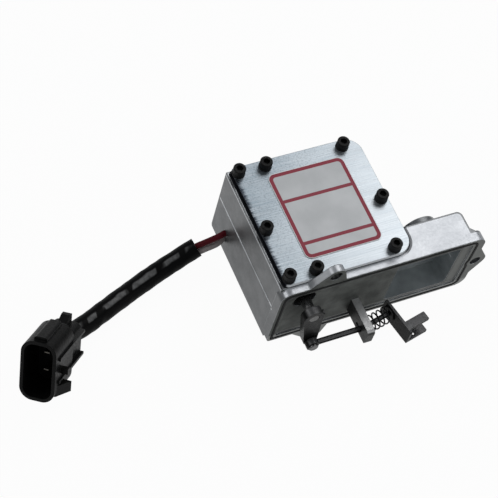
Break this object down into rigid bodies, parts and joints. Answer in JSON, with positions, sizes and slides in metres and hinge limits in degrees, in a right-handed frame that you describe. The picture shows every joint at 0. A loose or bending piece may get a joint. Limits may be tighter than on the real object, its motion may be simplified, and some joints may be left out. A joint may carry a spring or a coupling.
{
  "type": "engine governor actuator",
  "caption": "Electromagnetic governor actuator for an injection pump: flanged cast box with bolted cover and blank label, sprung crank link with forked hook, sleeved lead and plug.",
  "frame": {"origin": "under the middle of the actuator without its lead, at the lowest point of the rear flange ear", "axes": "lying on its back: +X along the lines of the nameplate, +Y away from the pump face, +Z out of the cover plate"},
  "size_m": [0.2623, 0.1074, 0.0717],
  "materials": {
    "cast_aluminium": "satin as-cast, machined faces",
    "cover_steel": "bright brushed sheet",
    "label": "printed foil, blank fields",
    "black_oxide": "black oxide",
    "seal_rubber": "matte",
    "gasket_fibre": "matte",
    "ground_steel": "ground",
    "spring_steel": "drawn wire",
    "iron_stack": "stacked sheet",
    "copper": "enamelled wire",
    "bobbin_plastic": "moulded",
    "linkage_steel": "dark phosphate",
    "post_steel": "bead blasted",
    "red_insulation": "extruded",
    "white_insulation": "extruded",
    "sleeve_black": "shrunk tubing",
    "connector_black": "moulded",
    "tinned_brass": "tinned",
    "potting": "cast resin"
  },
  "bodies": {
    "casting": {"housing": "cast_aluminium", "cover_gasket": "gasket_fibre", "cover_plate": "cover_steel", "nameplate": "label", "cover_screws": "black_oxide", "lock_washers": "black_oxide", "pump_face_seal": "seal_rubber", "lower_bearing": "ground_steel", "upper_bearing": "ground_steel", "shaft_seal": "seal_rubber", "magnet_core": "iron_stack", "bobbin": "bobbin_plastic", "coil": "copper", "coil_leads": "red_insulation", "return_spring": "spring_steel", "spring_anchor": "ground_steel", "lead_potting": "potting", "guide_post": "post_steel", "link_spring": "spring_steel", "red_wire": "red_insulation", "white_wire": "white_insulation", "sleeve": "sleeve_black", "connector_body": "connector_black", "connector_pins": "tinned_brass", "rear_seal": "seal_rubber"},
    "rotor": {"shaft": "ground_steel", "retaining_ring": "spring_steel", "armature": "iron_stack", "crank": "linkage_steel", "crank_set_screw": "black_oxide", "link_pin": "ground_steel", "pin_clip": "spring_steel"},
    "link": {"link_rod": "linkage_steel", "spring_washer": "linkage_steel", "hook": "linkage_steel", "hook_nut": "linkage_steel"}
  },
  "joints": [
    {"name": "crank_swing", "type": "hinge", "parent": "casting", "child": "rotor", "pos_m": [-0.04925, -0.03595, 0.0486], "axis": [0, 1, 0], "range_deg": [0, 15.6], "stiffness_Nm_per_rad": 0.6, "springref_deg": -8.59, "deforming": ["return_spring"]},
    {"name": "link_slide", "type": "slide", "parent": "casting", "child": "link", "axis": [1, 0, 0], "range_m": [-0.0071, 0], "deforming": ["link_spring"]}
  ],
  "couplings": [
    {"joint": "link_slide", "follows": "crank_swing", "m_per_rad": -0.02566}
  ]
}
